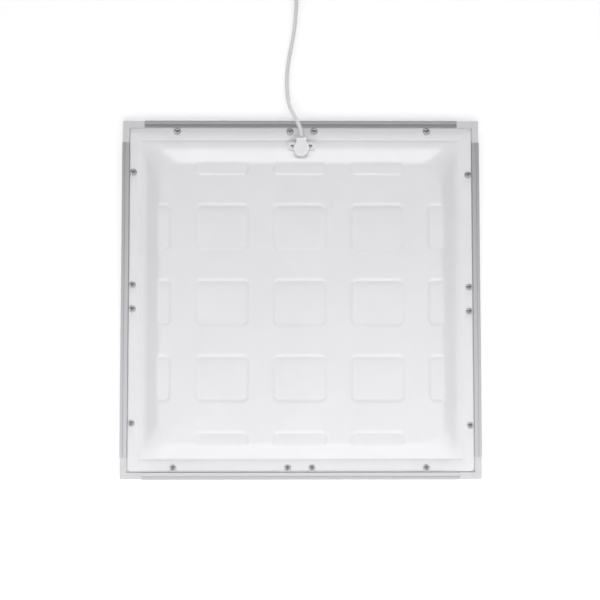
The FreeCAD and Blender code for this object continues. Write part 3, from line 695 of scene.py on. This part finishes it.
def studio_lamps():
    """The soft boxes; those in UNMIRRORED light the paint without showing in the metal."""
    for name, (place, target, width, length, power) in LAMPS.items():
        light = bpy.data.lights.new(name, "AREA")
        light.shape = "RECTANGLE"
        light.size, light.size_y = width, length
        light.energy = power
        lamp = bpy.data.objects.new(name, light)
        bpy.context.collection.objects.link(lamp)
        lamp.visible_glossy = name not in UNMIRRORED
        aim(lamp, place, target)


def choose(tree, fac, no, yes):
    """One shader or another by the kind of ray."""
    mix = add(tree, "ShaderNodeMixShader")
    for socket, source in zip(mix.inputs, (fac, no, yes)):
        tree.links.new(source, socket)
    return mix.outputs[0]


def studio_world():
    """Soft even light; white for the camera and through glass; for metal, white that darkens
    towards the side where the lead leaves, as a studio's open end does."""
    world = bpy.data.worlds.new("studio")
    world.use_nodes = True
    bpy.context.scene.world = world
    tree = world.node_tree
    soft = tree.nodes["Background"]
    soft.inputs["Color"].default_value = (1, 1, 1, 1)
    soft.inputs["Strength"].default_value = WORLD_LEVEL
    white = add(tree, "ShaderNodeBackground", Color=(1, 1, 1, 1), Strength=1.0)
    mirrored = add(tree, "ShaderNodeBackground", Color=(1, 1, 1, 1), Strength=1.0)
    way = add(tree, "ShaderNodeTexCoord")
    parts = add(tree, "ShaderNodeSeparateXYZ")
    level = add(tree, "ShaderNodeMapRange")
    (low, start), (high, end) = MIRROR_FRONT, MIRROR_BACK
    for socket, number in zip(level.inputs[1:5], (low, high, start, end)):
        socket.default_value = number
    tree.links.new(way.outputs["Generated"], parts.inputs[0])
    tree.links.new(parts.outputs["Y"], level.inputs["Value"])
    tree.links.new(level.outputs[0], mirrored.inputs["Color"])
    rays = add(tree, "ShaderNodeLightPath")
    shown = choose(tree, rays.outputs["Is Glossy Ray"], soft.outputs[0], mirrored.outputs[0])
    for kind in ("Is Transmission Ray", "Is Camera Ray"):
        shown = choose(tree, rays.outputs[kind], shown, white.outputs[0])
    tree.links.new(shown, tree.nodes["World Output"].inputs["Surface"])


def floor():
    """A pale floor that keeps the object's shadow and is white where it is open and far away."""
    mesh = bpy.data.meshes.new("floor")
    half = FLOOR_HALF
    mesh.from_pydata([(-half, -half, 0), (half, -half, 0), (half, half, 0), (-half, half, 0)], [],
                     [(0, 1, 2, 3)])
    material, tree, shader = surface("pale_floor", "F4F4F4", 0.9)
    rays = add(tree, "ShaderNodeLightPath")
    place = add(tree, "ShaderNodeTexCoord")
    away = add(tree, "ShaderNodeVectorMath", operation="LENGTH")
    tree.links.new(place.outputs["Object"], away.inputs[0])
    level = add(tree, "ShaderNodeMapRange", interpolation_type="SMOOTHSTEP")
    for socket, number in zip(level.inputs[1:5], (*FLOOR_FADE, FLOOR_GLOW, 1.0)):
        socket.default_value = number
    tree.links.new(away.outputs["Value"], level.inputs["Value"])
    glow = add(tree, "ShaderNodeMath", operation="MULTIPLY")
    tree.links.new(rays.outputs["Is Camera Ray"], glow.inputs[0])
    tree.links.new(level.outputs[0], glow.inputs[1])
    shader.inputs["Emission Color"].default_value = (1, 1, 1, 1)
    tree.links.new(glow.outputs[0], shader.inputs["Emission Strength"])
    mesh.materials.append(material)
    plate = bpy.data.objects.new("floor", mesh)
    bpy.context.collection.objects.link(plate)


def camera():
    """Nearly straight down, as far away as the photograph's perspective asks."""
    lens = bpy.data.cameras.new("camera")
    lens.sensor_width = SENSOR_MM
    lens.lens = FOCAL_PIXELS / FRAME_PIXELS * SENSOR_MM
    lens.clip_start = 0.01
    eye = bpy.data.objects.new("camera", lens)
    bpy.context.collection.objects.link(eye)
    turn = Matrix.Rotation(math.radians(CAMERA_TILT_X), 4, "X")
    turn = turn @ Matrix.Rotation(math.radians(CAMERA_TILT_Y), 4, "Y")
    eye.matrix_world = Matrix.Translation(CAMERA_PLACE) @ turn
    bpy.context.scene.camera = eye


finish_nodes()
pressed_pan()
fasteners()
lead()
floor()
studio_lamps()
studio_world()
camera()
bpy.context.scene.view_settings.view_transform = "Standard"
